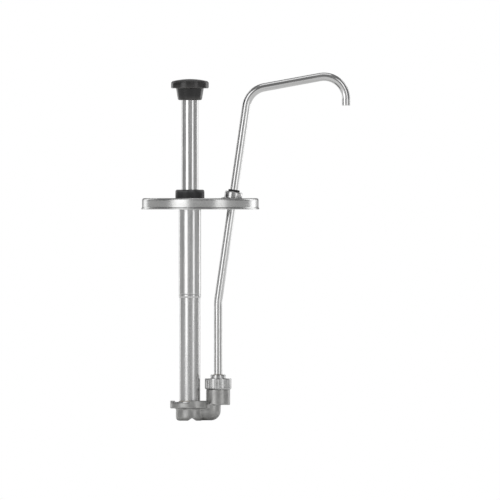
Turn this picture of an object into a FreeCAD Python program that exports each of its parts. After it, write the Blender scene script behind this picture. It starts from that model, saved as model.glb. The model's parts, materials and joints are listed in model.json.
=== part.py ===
"""Hand-operated condiment pump on a round drop-over lid, in millimetres.

The pump hangs from the lid: an upper pump cylinder with the plunger in it, a narrower extension tube that
reaches the container's bottom, and a cast valve body with an inlet check ball under the plunger and a
discharge check ball under the spout. Pressing the knob drives the piston down, the inlet ball seals, and
the product leaves past the discharge ball, up the bent discharge tube and out of the spout. A long spring
in the cylinder lifts the plunger again, and the next portion is drawn in past the inlet ball.

Frame: the origin is on the plunger's axis, at the height where the lid rests on the container's rim.
+Z is up, and +X points from the plunger to the spout.
"""

import FreeCAD
import Part

import os
from math import cos, pi, radians, sin, tan

Vector = FreeCAD.Vector
UP = Vector(0, 0, 1)

# ---- driving dimensions --------------------------------------------------------------------------

# Tube stock: outer diameter and wall
SPOUT_OD, SPOUT_WALL = 9.5, 0.9
PLUNGER_OD, PLUNGER_WALL = 19.0, 1.0
CYLINDER_OD, CYLINDER_WALL = 25.4, 0.8
EXTENSION_OD, EXTENSION_WALL = 23.7, 0.9

STROKE = 102.0
PLUNGER_EXPOSED = STROKE + 0.9  # plunger showing between the collar and the knob, at rest
RUNNING_GAP = 0.05  # radial, between a shaft and its guide
SLIP_GAP = 0.1  # radial, between parts that are only assembled
FREE_GAP = 0.3  # between parts that pass each other
CUTTER_OVERRUN = 1.0  # how far a cutting shape passes the face that it opens

# Lid: a pressed disc whose centre lies between the plunger and the spout
LID_CENTRE_X, LID_RADIUS, LID_SHEET = 12.0, 67.0, 1.0
LID_SKIRT_DEPTH = 12.0  # below the rim seat
LID_DISH_RADIUS, LID_DISH_DEPTH, LID_STEP_WIDTH = 57.0, 1.2, 1.5
LID_HEM = 0.8  # how far the skirt's lower edge turns out
LID_NUT_HEIGHT, LID_NUT_FLATS = 6.0, 33.0
TUBE_CLEARANCE = 1.0  # radial, round the discharge tube where it passes through the lid

# Levels, from the rim seat at zero
COLLAR_TOP = 10.8
CYLINDER_END = -113.7  # lower end of the pump cylinder
SEAT_TOP = -234.5  # top face of the valve body's flange
BODY_BOTTOM = -254.9
TUBE_BEND_Z = -118.0  # where the discharge tube starts to lean
TUBE_END_Z = 107.5  # mouth of the spout

# Discharge side
OUTLET_X = 32.4
SPOUT_LEAN = 8.2  # degrees off vertical
SPOUT_RISE = 10.4  # degrees above horizontal, of the arm
SPOUT_CORNER_Z = 125.2
SPOUT_MOUTH_X = 179.6
SPOUT_BEND_RADIUS = 25.4
LEAN_BEND_RADIUS = 60.0

# Knob
KNOB_RADIUS, KNOB_RIM = 21.6, 7.2
KNOB_HEIGHT = 20.8  # without the domed cap
KNOB_SKIRT_FOOT, KNOB_SKIRT_TOP = 13.7, 15.9  # radii of the tapered skirt
KNOB_SOCKET = 10.6  # depth of the socket for the plunger
KNOB_CAP_RADIUS, KNOB_CAP_RISE, KNOB_CAP_EDGE, KNOB_CAP_DEPTH = 20.6, 3.5, 0.9, 2.0
INSERT_RADIUS, INSERT_LENGTH = 5.0, 8.0

# Valve body casting
FLANGE_RADIUS, FLANGE_THICK = 22.7, 6.3
CUP_RADIUS = 16.1  # ball housing under the extension tube
PASSAGE_RADIUS, PASSAGE_BORE = 11.2, 5.2
LUG_HEIGHT, LUG_LIP, LUG_LIP_RADIUS = 2.6, 1.2, 17.8
LUGS = ((180.0, 17.0), (60.0, 29.0), (-60.0, 29.0))  # direction and half width, in degrees
LUG_WALL_INSIDE = 19.4
LOBE_RADIUS, LOBE_ROOM_RADIUS = 19.0, 19.3
INLET_NOTCH_X, INLET_NOTCH_HALF, INLET_NOTCH_DEEP = 2.4, 4.6, 3.1
OUTLET_RADIUS, OUTLET_BORE, OUTLET_FLOOR = 13.8, 10.6, 3.3

# Check balls
INLET_BALL_RADIUS, INLET_SEAT_RADIUS, INLET_LIFT = 6.35, 4.8, 2.8
DISCHARGE_BALL_RADIUS, DISCHARGE_SEAT_RADIUS, DISCHARGE_LIFT = 4.76, 3.6, 2.8
BALL_GAP = 0.02  # keeps a resting ball off its seat's edge
STOP_GAP = 0.05  # keeps a lifted ball off its stop

# Return spring
SPRING_WIRE, SPRING_RADIUS, SPRING_COILS = 1.2, 8.2, 32

# How far the extension reaches into the pump cylinder's swaged end
EXTENSION_INSERTED = 3.6

# ---- worked out from them ------------------------------------------------------------------------

PANEL_TOP = LID_SHEET - LID_DISH_DEPTH
PANEL_UNDER = -LID_DISH_DEPTH
KNOB_BOTTOM = COLLAR_TOP + PLUNGER_EXPOSED
KNOB_TOP = KNOB_BOTTOM + KNOB_HEIGHT
PLUNGER_R = PLUNGER_OD / 2
PLUNGER_BORE = PLUNGER_R - PLUNGER_WALL
CYLINDER_R = CYLINDER_OD / 2
CYLINDER_BORE = CYLINDER_R - CYLINDER_WALL
EXTENSION_R = EXTENSION_OD / 2
EXTENSION_BORE = EXTENSION_R - EXTENSION_WALL
SPOUT_R = SPOUT_OD / 2
SPOUT_BORE = SPOUT_R - SPOUT_WALL

# Collar and cylinder head, which lock together by a quarter turn
HEAD_TOP = 7.2
HEAD_RADIUS, HEAD_RIM_RADIUS, HEAD_RIM_THICK = 13.9, 15.0, 2.6
COLLAR_RADIUS, COLLAR_CEILING, COLLAR_BOTTOM = 16.7, HEAD_TOP + FREE_GAP, 0.1
COLLAR_LUG_HALF_ANGLE = 14.0
WIPER_BOTTOM, WIPER_RADIUS = 3.6, CYLINDER_BORE - 0.3
CYLINDER_TOP = HEAD_TOP - 1.0  # the head's step that the cylinder's upper end meets

# Plugs in the plunger's two ends
STUD_RADIUS = 2.95
PLUG_SPIGOT = 7.6
PLUG_FLANGE, TOP_PLUG_FLANGE, TOP_STUD = 2.0, 1.2, 7.3
PLUNGER_TOP = KNOB_BOTTOM + KNOB_SOCKET - TOP_PLUG_FLANGE - 0.1

# Piston stack, downwards from the plunger's closed end
WASHER_TOP = WIPER_BOTTOM - 0.2
PLUNGER_FOOT = WASHER_TOP + PLUG_FLANGE
WASHER_THICK, SEAL_BASE, SEAL_LIP, SPREADER_THICK, PISTON_NUT_THICK = 2.0, 3.0, 5.0, 2.0, 5.0
SPREADER_RADIUS = 9.0
SEAL_TOP = WASHER_TOP - WASHER_THICK
SPREADER_TOP = SEAL_TOP - SEAL_BASE
PISTON_NUT_TOP = SPREADER_TOP - SPREADER_THICK
PISTON_NUT_FLATS = 10.0
STUD_BEYOND_NUT = 2.0

# Ball housing
PASSAGE_Z = BODY_BOTTOM + PASSAGE_RADIUS + 0.4
FLANGE_UNDER = SEAT_TOP - FLANGE_THICK
BALL_CHAMBER_RADIUS = 8.2
RETAINER_RADIUS, RETAINER_THICK, RETAINER_SHELF = 10.8, 1.2, SEAT_TOP - 2.5
RETAINER_RIM_INSIDE, RETAINER_HUB, RETAINER_SPOKE = 7.3, 3.2, 2.2
INLET_BALL_Z = RETAINER_SHELF - STOP_GAP - INLET_LIFT - INLET_BALL_RADIUS
CHAMBER_FLOOR = INLET_BALL_Z - BALL_GAP - (INLET_BALL_RADIUS**2 - INLET_SEAT_RADIUS**2) ** 0.5
SPRING_BOTTOM = RETAINER_SHELF + RETAINER_THICK
FLANGE_ORING_CENTRE, FLANGE_ORING_WIRE = 14.2, 0.9
EXTENSION_RING_RADIUS = 16.4

# Outlet and its fitting
OUTLET_BOTTOM = -236.8
OUTLET_SHOULDER, OUTLET_TOP, OUTLET_NECK_RADIUS = -219.1, -210.5, 12.6
NUT_TOP, NUT_RADIUS, NUT_WALL = -206.3, 15.25, 2.2
FITTING_NECK_TOP, FITTING_NECK_RADIUS = -201.9, 8.75
FITTING_BOTTOM = OUTLET_BOTTOM + OUTLET_FLOOR + 0.3
FITTING_RADIUS = OUTLET_BORE - 0.1
FITTING_FLANGE_RADIUS = 12.0
DISCHARGE_CHAMBER_RADIUS = 6.6
DISCHARGE_SEAT_Z = FITTING_BOTTOM + 4.2
DISCHARGE_BALL_Z = (
    DISCHARGE_SEAT_Z + (DISCHARGE_BALL_RADIUS**2 - DISCHARGE_SEAT_RADIUS**2) ** 0.5 + BALL_GAP
)
STOP_PIN_RADIUS = 0.9
STOP_PIN_Z = DISCHARGE_BALL_Z + DISCHARGE_BALL_RADIUS + DISCHARGE_LIFT + STOP_GAP + STOP_PIN_RADIUS
TUBE_SOCKET_FLOOR = -212.0
GROOVE_RADIUS, GROOVE_LOW, GROOVE_HIGH = 9.1, OUTLET_TOP - 5.5, OUTLET_TOP - 3.1
FITTING_ORING_CENTRE, FITTING_ORING_WIRE = 9.9, 0.85
FLUTES, FLUTE_RADIUS = 24, 0.9

# Boss on the lid that the leaning tube passes through
BOSS_RADIUS, BOSS_HEIGHT, BOSS_FOOT_RADIUS, BOSS_BORE = 10.1, 7.6, 14.0, 5.3
BOSS_BLANK_BOTTOM, BOSS_FOOT_TOP = -6.0, -1.6  # before it is cut off level with the dish
GROMMET_RADIUS, GROMMET_LOW, GROMMET_HIGH = 6.1, 5.0, 10.0


# ---- drawing and turning -------------------------------------------------------------------------


def rounded_path(corners, closed):
    """Edges through (a, b) or (a, b, radius) corners in the XZ plane, each radius as a tangent arc."""
    points = [Vector(c[0], 0, c[1]) for c in corners]
    bends = [c[2] if len(c) > 2 else 0.0 for c in corners]
    count = len(points)
    trimmed = []
    for i, (point, radius) in enumerate(zip(points, bends)):
        if radius == 0.0:
            trimmed.append((point, None, point))
            continue
        back = (points[i - 1] - point).normalize()
        ahead = (points[(i + 1) % count] - point).normalize()
        half = back.getAngle(ahead) / 2
        reach = radius / tan(half)
        bisector = (back + ahead).normalize()
        middle = point + bisector * (radius / sin(half) - radius)
        trimmed.append((point + back * reach, middle, point + ahead * reach))
    edges = []
    for i, (start, middle, end) in enumerate(trimmed):
        if middle is not None:
            edges.append(Part.Arc(start, middle, end).toShape())
        last = i == count - 1
        if last and not closed:
            break
        following = trimmed[(i + 1) % count][0]
        if (following - end).Length > 1e-6:
            edges.append(Part.makeLine(end, following))
    return Part.Wire(edges)


def turned(profile, x=0.0, degrees=360.0):
    """A lathe part: a closed profile of (radius, height[, corner radius]) turned about the axis at x."""
    solid = Part.Face(rounded_path(profile, closed=True)).revolve(Vector(0, 0, 0), UP, degrees)
    solid.translate(Vector(x, 0, 0))
    return solid


def rod(radius, low, high, x=0.0):
    return Part.makeCylinder(radius, high - low, Vector(x, 0, low), UP)


def ring(outer, inner, low, high, x=0.0):
    bore = rod(inner, low - CUTTER_OVERRUN, high + CUTTER_OVERRUN, x)
    return rod(outer, low, high, x).cut(bore)


def ball(radius, x, z):
    return Part.makeSphere(radius, Vector(x, 0, z))


def o_ring(centre_radius, wire_radius, z, x=0.0):
    return Part.makeTorus(centre_radius, wire_radius, Vector(x, 0, z), UP)


def hexagon(across_flats, low, high):
    corner = across_flats / 2 / cos(pi / 6)
    points = [Vector(corner * cos(i * pi / 3), corner * sin(i * pi / 3), low) for i in range(7)]
    return Part.Face(Part.makePolygon(points)).extrude(Vector(0, 0, high - low))


def about_axis(shape, degrees, x=0.0):
    """A copy of shape turned about the vertical axis at x."""
    copy = shape.copy()
    copy.rotate(Vector(x, 0, 0), UP, degrees)
    return copy


def arc_block(outer, inner, low, high, half_angle, at_angle):
    """A sector of a ring, centred on at_angle."""
    profile = [(inner, low), (outer, low), (outer, high), (inner, high)]
    return about_axis(turned(profile, degrees=2 * half_angle), at_angle - half_angle)


def leaning(shape):
    """Places a shape drawn about Z on the tube's leaning axis, with its zero at the lid's top."""
    copy = shape.copy()
    copy.rotate(Vector(0, 0, 0), Vector(0, 1, 0), SPOUT_LEAN)
    copy.translate(Vector(lean_x(LID_SHEET), 0, LID_SHEET))
    return copy


def lean_x(z):
    """Where the leaning stretch of the discharge tube is, at a height above its lower bend."""
    return OUTLET_X + (z - TUBE_BEND_Z) * tan(radians(SPOUT_LEAN))


# ---- lid -----------------------------------------------------------------------------------------


def lid():
    """Pressed sheet: rim seat, drip-catching dish in the middle, and a skirt with a turned-out edge."""
    outer, sheet = LID_RADIUS, LID_SHEET
    inner = outer - sheet
    step_out = LID_DISH_RADIUS + LID_STEP_WIDTH
    edge = -LID_SKIRT_DEPTH
    profile = [
        (0, PANEL_UNDER),
        (LID_DISH_RADIUS, PANEL_UNDER, 0.4),
        (step_out, 0, 0.3),
        (inner, 0, 1.5),
        (inner, edge + 1.6, 0.8),
        (inner + LID_HEM, edge + 0.4),
        (inner + LID_HEM, edge),
        (outer + LID_HEM, edge, 0.4),
        (outer + LID_HEM, edge + 1.2, 0.4),
        (outer, edge + 2.6, 0.8),
        (outer, sheet, 2.5),
        (step_out, sheet, 0.3),
        (LID_DISH_RADIUS, PANEL_TOP, 0.4),
        (0, PANEL_TOP),
    ]
    body = turned(profile, LID_CENTRE_X)
    pump_hole = rod(CYLINDER_R + SLIP_GAP, -20, 20)
    tube_hole = leaning(rod(SPOUT_R + TUBE_CLEARANCE, -20, 20))
    return body.cut(pump_hole).cut(tube_hole)


def lid_nut():
    """Hexagon nut that clamps the lid between itself and the cylinder head."""
    low, high = PANEL_UNDER - LID_NUT_HEIGHT, PANEL_UNDER
    flat = LID_NUT_FLATS / 2
    chamfered = turned([(0, low), (flat, low), (flat + 3, low + 1.8), (flat + 3, high), (0, high)])
    bore = rod(CYLINDER_R + RUNNING_GAP, low - CUTTER_OVERRUN, high + CUTTER_OVERRUN)
    return hexagon(LID_NUT_FLATS, low, high).common(chamfered).cut(bore)


def spout_boss():
    """Turned stainless boss, welded to the lid at the tube's lean, with a flared foot."""
    profile = [
        (BOSS_BORE, BOSS_BLANK_BOTTOM),
        (BOSS_FOOT_RADIUS, BOSS_BLANK_BOTTOM),
        (BOSS_FOOT_RADIUS, BOSS_FOOT_TOP),
        (BOSS_RADIUS, 0.0, 0.8),
        (BOSS_RADIUS, BOSS_HEIGHT, 1.6),
        (GROMMET_RADIUS + SLIP_GAP, BOSS_HEIGHT),
        (GROMMET_RADIUS + SLIP_GAP, GROMMET_LOW),
        (BOSS_BORE, GROMMET_LOW),
    ]
    under_lid = Part.makeBox(80, 80, 40, Vector(lean_x(0) - 40, -40, PANEL_TOP - 40))
    return leaning(turned(profile)).cut(under_lid)


def spout_grommet():
    """Rubber ring that seals the tube in its boss."""
    profile = [
        (SPOUT_R + RUNNING_GAP, GROMMET_LOW),
        (GROMMET_RADIUS, GROMMET_LOW),
        (GROMMET_RADIUS, GROMMET_HIGH, 0.9),
        (SPOUT_R + RUNNING_GAP, GROMMET_HIGH),
    ]
    return leaning(turned(profile))


# ---- pump cylinder and its collar ----------------------------------------------------------------


def pump_cylinder():
    """Upper tube, in which the piston travels. Its lower end is grooved and swaged onto the extension."""
    bore_end = CYLINDER_END + EXTENSION_INSERTED
    groove_z = bore_end + 0.5
    profile = [
        (EXTENSION_R, CYLINDER_END),
        (EXTENSION_R + 0.5, CYLINDER_END, 0.2),
        (CYLINDER_R, CYLINDER_END + 1.8),
        (CYLINDER_R, groove_z - 0.4),
        (CYLINDER_R - 0.25, groove_z),
        (CYLINDER_R, groove_z + 0.4),
        (CYLINDER_R, CYLINDER_TOP),
        (CYLINDER_BORE + 0.4, CYLINDER_TOP),
        (CYLINDER_BORE, CYLINDER_TOP - 0.8),
        (CYLINDER_BORE, bore_end),
        (EXTENSION_R, bore_end),
    ]
    return turned(profile)


def cylinder_head():
    """Ring on the cylinder's top with a rim. Two gaps in the rim let the collar's lugs through."""
    rim_low = HEAD_TOP - HEAD_RIM_THICK
    profile = [
        (CYLINDER_R, PANEL_TOP),
        (HEAD_RADIUS, PANEL_TOP),
        (HEAD_RADIUS, rim_low),
        (HEAD_RIM_RADIUS, rim_low),
        (HEAD_RIM_RADIUS, HEAD_TOP, 0.4),
        (CYLINDER_BORE, HEAD_TOP),
        (CYLINDER_BORE, CYLINDER_TOP),
        (CYLINDER_R, CYLINDER_TOP),
    ]
    head = turned(profile)
    low, high = rim_low - CUTTER_OVERRUN, HEAD_TOP + CUTTER_OVERRUN
    half_angle = COLLAR_LUG_HALF_ANGLE + 3
    for at_angle in (90.0, 270.0):
        gap = arc_block(HEAD_RIM_RADIUS + 2, HEAD_RADIUS, low, high, half_angle, at_angle)
        head = head.cut(gap)
    return head


def locking_collar():
    """Moulded cap round the plunger. Its two lugs turn under the head's rim."""
    inside = HEAD_RIM_RADIUS + FREE_GAP
    profile = [
        (PLUNGER_R + FREE_GAP, COLLAR_CEILING),
        (inside, COLLAR_CEILING),
        (inside, COLLAR_BOTTOM),
        (COLLAR_RADIUS, COLLAR_BOTTOM),
        (COLLAR_RADIUS, COLLAR_TOP, 2.4),
        (PLUNGER_R + FREE_GAP, COLLAR_TOP, 0.3),
    ]
    collar = turned(profile)
    outer, inner = inside + 0.3, HEAD_RADIUS + FREE_GAP
    low, high = COLLAR_BOTTOM + 0.6, HEAD_TOP - HEAD_RIM_THICK - FREE_GAP
    for at_angle in (0.0, 180.0):
        collar = collar.fuse(arc_block(outer, inner, low, high, COLLAR_LUG_HALF_ANGLE, at_angle))
    return collar.removeSplitter()


def plunger_wiper():
    """Soft guide ring under the collar's ceiling that wipes the plunger and stops the piston."""
    profile = [
        (PLUNGER_R + RUNNING_GAP, WIPER_BOTTOM),
        (WIPER_RADIUS, WIPER_BOTTOM, 0.4),
        (WIPER_RADIUS, COLLAR_CEILING),
        (PLUNGER_R + RUNNING_GAP, COLLAR_CEILING),
    ]
    return turned(profile)


# ---- knob and plunger ----------------------------------------------------------------------------


def knob():
    """Moulded knob: broad rim over a tapered skirt, with a shallow recess for the domed cap."""
    rim_low = KNOB_TOP - KNOB_RIM
    socket_top = KNOB_BOTTOM + KNOB_SOCKET
    insert_top = socket_top + INSERT_LENGTH
    profile = [
        (PLUNGER_R + SLIP_GAP, KNOB_BOTTOM),
        (KNOB_SKIRT_FOOT, KNOB_BOTTOM, 2.2),
        (KNOB_SKIRT_TOP, rim_low, 0.5),
        (KNOB_RADIUS, rim_low, 1.2),
        (KNOB_RADIUS, KNOB_TOP, 0.8),
        (KNOB_CAP_RADIUS + RUNNING_GAP, KNOB_TOP),
        (KNOB_CAP_RADIUS + RUNNING_GAP, KNOB_TOP - KNOB_CAP_DEPTH),
        (0, KNOB_TOP - KNOB_CAP_DEPTH),
        (0, insert_top),
        (INSERT_RADIUS, insert_top),
        (INSERT_RADIUS, socket_top),
        (PLUNGER_R + SLIP_GAP, socket_top),
    ]
    return turned(profile)


def knob_cap():
    """Domed disc snapped into the top of the knob."""
    rise = KNOB_CAP_RISE - KNOB_CAP_EDGE
    crown = (KNOB_CAP_RADIUS**2 + rise**2) / (2 * rise)
    apex = KNOB_TOP + KNOB_CAP_RISE
    disc = rod(KNOB_CAP_RADIUS, KNOB_TOP - KNOB_CAP_DEPTH, apex + CUTTER_OVERRUN)
    cap = disc.common(ball(crown, 0, apex - crown))
    rims = [edge for edge in cap.Edges if edge.Length > KNOB_CAP_RADIUS * pi]
    upper_rim = max(rims, key=lambda edge: edge.BoundBox.ZMax)
    return cap.makeFillet(0.6, [upper_rim])


def knob_insert():
    """Brass threaded insert moulded into the knob."""
    low = KNOB_BOTTOM + KNOB_SOCKET
    return ring(INSERT_RADIUS, STUD_RADIUS + RUNNING_GAP, low, low + INSERT_LENGTH)


def plunger_tube():
    return ring(PLUNGER_R, PLUNGER_BORE, PLUNGER_FOOT, PLUNGER_TOP)


def plunger_top_plug():
    """Plug welded into the plunger's upper end, with the stud that the knob screws onto."""
    flange_top = PLUNGER_TOP + TOP_PLUG_FLANGE
    spigot = rod(PLUNGER_BORE, PLUNGER_TOP - PLUG_SPIGOT, PLUNGER_TOP)
    flange = rod(PLUNGER_R, PLUNGER_TOP, flange_top)
    stud = rod(STUD_RADIUS, flange_top, flange_top + TOP_STUD)
    return spigot.fuse(flange).fuse(stud).removeSplitter()


def piston_plug():
    """Plug welded into the plunger's lower end, with the stud that holds the piston stack."""
    spigot = rod(PLUNGER_BORE, PLUNGER_FOOT, PLUNGER_FOOT + PLUG_SPIGOT)
    flange = rod(PLUNGER_R, WASHER_TOP, PLUNGER_FOOT)
    stud = rod(STUD_RADIUS, PISTON_NUT_TOP - PISTON_NUT_THICK - STUD_BEYOND_NUT, WASHER_TOP)
    return spigot.fuse(flange).fuse(stud).removeSplitter()


def piston_washer():
    return ring(CYLINDER_BORE - 0.3, STUD_RADIUS + SLIP_GAP, SEAL_TOP, WASHER_TOP)


def piston_seal():
    """Cup seal, with its lip facing down so that pressure under the piston spreads it."""
    lip_low = SPREADER_TOP - SEAL_LIP
    profile = [
        (STUD_RADIUS + SLIP_GAP, SPREADER_TOP),
        (SPREADER_RADIUS + 0.6, SPREADER_TOP, 0.6),
        (10.5, lip_low),
        (CYLINDER_BORE - RUNNING_GAP, lip_low, 0.3),
        (CYLINDER_BORE - RUNNING_GAP, SEAL_TOP, 1.0),
        (STUD_RADIUS + SLIP_GAP, SEAL_TOP),
    ]
    return turned(profile)


def seal_spreader():
    """Washer inside the cup. The spring's upper end bears on it."""
    return ring(SPREADER_RADIUS, STUD_RADIUS + SLIP_GAP, PISTON_NUT_TOP, SPREADER_TOP)


def piston_nut():
    low = PISTON_NUT_TOP - PISTON_NUT_THICK
    bore = rod(STUD_RADIUS + RUNNING_GAP, low - CUTTER_OVERRUN, PISTON_NUT_TOP + CUTTER_OVERRUN)
    return hexagon(PISTON_NUT_FLATS, low, PISTON_NUT_TOP).cut(bore)


def return_spring():
    """Compression spring with ground ends, from the ball retainer up to the piston."""
    low, high = SPRING_BOTTOM, PISTON_NUT_TOP
    wire = SPRING_WIRE / 2
    pitch = (high - low) / SPRING_COILS
    helix = Part.makeHelix(pitch, high - low, SPRING_RADIUS)
    slope = Vector(0, 2 * pi * SPRING_RADIUS, pitch)
    section = Part.Wire(Part.makeCircle(wire, Vector(SPRING_RADIUS, 0, 0), slope))
    coil = Part.Wire(helix.Edges).makePipeShell([section], True, True)
    coil.translate(Vector(0, 0, low))
    return coil.common(ring(SPRING_RADIUS + 2, SPRING_RADIUS - 2, low, high))


# ---- extension tube and valve body ---------------------------------------------------------------


def extension_tube():
    return ring(EXTENSION_R, EXTENSION_BORE, SEAT_TOP, CYLINDER_END + EXTENSION_INSERTED)


def extension_flange():
    """Ring welded to the extension's foot, with three lobes that turn under the valve body's lugs."""
    high = SEAT_TOP + LUG_HEIGHT - LUG_LIP - 0.1
    flange = rod(EXTENSION_RING_RADIUS, SEAT_TOP, high)
    for at_angle, half_angle in LUGS:
        flange = flange.fuse(arc_block(LOBE_RADIUS, 14.0, SEAT_TOP, high, half_angle - 3, at_angle))
    bore = rod(EXTENSION_R, SEAT_TOP - CUTTER_OVERRUN, high + CUTTER_OVERRUN)
    return flange.removeSplitter().cut(bore)


def flange_oring():
    return o_ring(FLANGE_ORING_CENTRE, FLANGE_ORING_WIRE, SEAT_TOP - FLANGE_ORING_WIRE)


def lug(at_angle, half_angle):
    """Hooked lug on the valve body's flange: an upright wall with a lip turned in over the groove."""
    high = SEAT_TOP + LUG_HEIGHT
    profile = [
        (LUG_WALL_INSIDE, SEAT_TOP - 1.0),
        (FLANGE_RADIUS, SEAT_TOP - 1.0),
        (FLANGE_RADIUS, high, 0.4),
        (LUG_LIP_RADIUS, high, 0.3),
        (LUG_LIP_RADIUS, high - LUG_LIP),
        (LUG_WALL_INSIDE, high - LUG_LIP),
    ]
    return about_axis(turned(profile, degrees=2 * half_angle), at_angle - half_angle)


def inlet_notch():
    """Groove across the underside, so that the inlet stays open on a container's floor."""
    at_x, half = INLET_NOTCH_X, INLET_NOTCH_HALF
    below = BODY_BOTTOM - CUTTER_OVERRUN
    corners = [
        (at_x - half - CUTTER_OVERRUN, below),
        (at_x - half, BODY_BOTTOM),
        (at_x, BODY_BOTTOM + INLET_NOTCH_DEEP, 1.0),
        (at_x + half, BODY_BOTTOM),
        (at_x + half + CUTTER_OVERRUN, below),
    ]
    face = Part.Face(rounded_path(corners, closed=True))
    face.translate(Vector(0, -30, 0))
    return face.extrude(Vector(0, 60, 0))


def valve_body():
    """Casting: bayonet flange and ball housing under the tube, cross passage, and threaded outlet."""
    housing = turned(
        [
            (0, BODY_BOTTOM),
            (CUP_RADIUS, BODY_BOTTOM, 4.0),
            (CUP_RADIUS, FLANGE_UNDER, 1.6),
            (FLANGE_RADIUS, FLANGE_UNDER, 1.0),
            (FLANGE_RADIUS, SEAT_TOP, 0.4),
            (0, SEAT_TOP),
        ]
    )
    elbow_x = OUTLET_X + 3.0 - PASSAGE_RADIUS
    passage = Part.makeCylinder(PASSAGE_RADIUS, elbow_x, Vector(0, 0, PASSAGE_Z), Vector(1, 0, 0))
    elbow = ball(PASSAGE_RADIUS, elbow_x, PASSAGE_Z)
    riser = rod(PASSAGE_RADIUS, PASSAGE_Z, OUTLET_BOTTOM + 1, elbow_x)
    outlet = turned(
        [
            (0, OUTLET_BOTTOM),
            (OUTLET_RADIUS, OUTLET_BOTTOM, 0.8),
            (OUTLET_RADIUS, OUTLET_SHOULDER, 0.8),
            (OUTLET_NECK_RADIUS, OUTLET_SHOULDER),
            (OUTLET_NECK_RADIUS, OUTLET_TOP, 0.4),
            (0, OUTLET_TOP),
        ],
        OUTLET_X,
    )
    body = housing.multiFuse([passage, elbow, riser, outlet])
    inside_flange = rod(17.0, SEAT_TOP, SEAT_TOP + 10)
    body = body.cut(inside_flange)
    body = body.multiFuse([lug(*place) for place in LUGS])
    port_x = OUTLET_X - 5.0
    oring_outer, oring_inner = FLANGE_ORING_CENTRE + 1.0, FLANGE_ORING_CENTRE - 1.0
    outlet_floor = OUTLET_BOTTOM + OUTLET_FLOOR
    hollows = [
        ring(LOBE_ROOM_RADIUS, EXTENSION_R + 0.35, SEAT_TOP, SEAT_TOP + LUG_HEIGHT - LUG_LIP),
        rod(INLET_SEAT_RADIUS, BODY_BOTTOM - CUTTER_OVERRUN, CHAMBER_FLOOR + CUTTER_OVERRUN),
        rod(BALL_CHAMBER_RADIUS, CHAMBER_FLOOR, SEAT_TOP),
        rod(RETAINER_RADIUS + SLIP_GAP, RETAINER_SHELF, SEAT_TOP + CUTTER_OVERRUN),
        ring(oring_outer, oring_inner, SEAT_TOP - 1.85, SEAT_TOP + CUTTER_OVERRUN),
        Part.makeCylinder(PASSAGE_BORE, port_x, Vector(0, 0, PASSAGE_Z), Vector(1, 0, 0)),
        ball(PASSAGE_BORE, port_x, PASSAGE_Z),
        rod(PASSAGE_BORE, PASSAGE_Z, outlet_floor + CUTTER_OVERRUN, port_x),
        rod(OUTLET_BORE, outlet_floor, OUTLET_TOP + CUTTER_OVERRUN, OUTLET_X),
        inlet_notch(),
    ]
    for hollow in hollows:
        body = body.cut(hollow)
    return body.removeSplitter()


def inlet_ball():
    return ball(INLET_BALL_RADIUS, 0, INLET_BALL_Z)


def ball_retainer():
    """Pressed spider over the inlet ball: it limits the ball's lift and carries the spring."""
    low, high = RETAINER_SHELF, RETAINER_SHELF + RETAINER_THICK
    rim = ring(RETAINER_RADIUS, RETAINER_RIM_INSIDE, low, high)
    spider = rim.fuse(rod(RETAINER_HUB, low, high))
    for i in range(3):
        start = Vector(0, -RETAINER_SPOKE / 2, low)
        spoke = Part.makeBox(RETAINER_RIM_INSIDE + 1, RETAINER_SPOKE, RETAINER_THICK, start)
        spider = spider.fuse(about_axis(spoke, 30 + 120 * i))
    return spider.removeSplitter()


# ---- discharge side ------------------------------------------------------------------------------


def discharge_fitting():
    """Turned fitting brazed to the tube's foot. It holds the discharge ball and seals in the outlet."""
    flange_top = NUT_TOP - NUT_WALL
    chamber_top = STOP_PIN_Z + STOP_PIN_RADIUS + 0.2
    profile = [
        (DISCHARGE_SEAT_RADIUS, FITTING_BOTTOM),
        (FITTING_RADIUS, FITTING_BOTTOM, 0.5),
        (FITTING_RADIUS, GROOVE_LOW),
        (GROOVE_RADIUS, GROOVE_LOW),
        (GROOVE_RADIUS, GROOVE_HIGH),
        (FITTING_RADIUS, GROOVE_HIGH),
        (FITTING_RADIUS, OUTLET_TOP),
        (FITTING_FLANGE_RADIUS, OUTLET_TOP),
        (FITTING_FLANGE_RADIUS, flange_top),
        (FITTING_NECK_RADIUS, flange_top),
        (FITTING_NECK_RADIUS, FITTING_NECK_TOP, 1.2),
        (SPOUT_R, FITTING_NECK_TOP),
        (SPOUT_R, TUBE_SOCKET_FLOOR),
        (SPOUT_BORE, TUBE_SOCKET_FLOOR),
        (SPOUT_BORE, chamber_top + 2.0),
        (DISCHARGE_CHAMBER_RADIUS, chamber_top),
        (DISCHARGE_CHAMBER_RADIUS, DISCHARGE_SEAT_Z),
        (DISCHARGE_SEAT_RADIUS, DISCHARGE_SEAT_Z),
    ]
    body = turned(profile, OUTLET_X)
    pin_hole = Part.makeCylinder(STOP_PIN_RADIUS, 30, Vector(OUTLET_X, -15, STOP_PIN_Z), Vector(0, 1, 0))
    return body.cut(pin_hole)


def ball_stop_pin():
    length = 2 * (OUTLET_BORE - 0.5)
    start = Vector(OUTLET_X, -length / 2, STOP_PIN_Z)
    return Part.makeCylinder(STOP_PIN_RADIUS, length, start, Vector(0, 1, 0))


def discharge_ball():
    return ball(DISCHARGE_BALL_RADIUS, OUTLET_X, DISCHARGE_BALL_Z)


def fitting_oring():
    """O-ring squeezed between the fitting's groove and the outlet's bore."""
    room = ring(OUTLET_BORE, GROOVE_RADIUS, GROOVE_LOW, GROOVE_HIGH, OUTLET_X)
    middle = (GROOVE_LOW + GROOVE_HIGH) / 2
    return o_ring(FITTING_ORING_CENTRE, FITTING_ORING_WIRE, middle, OUTLET_X).common(room)


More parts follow.
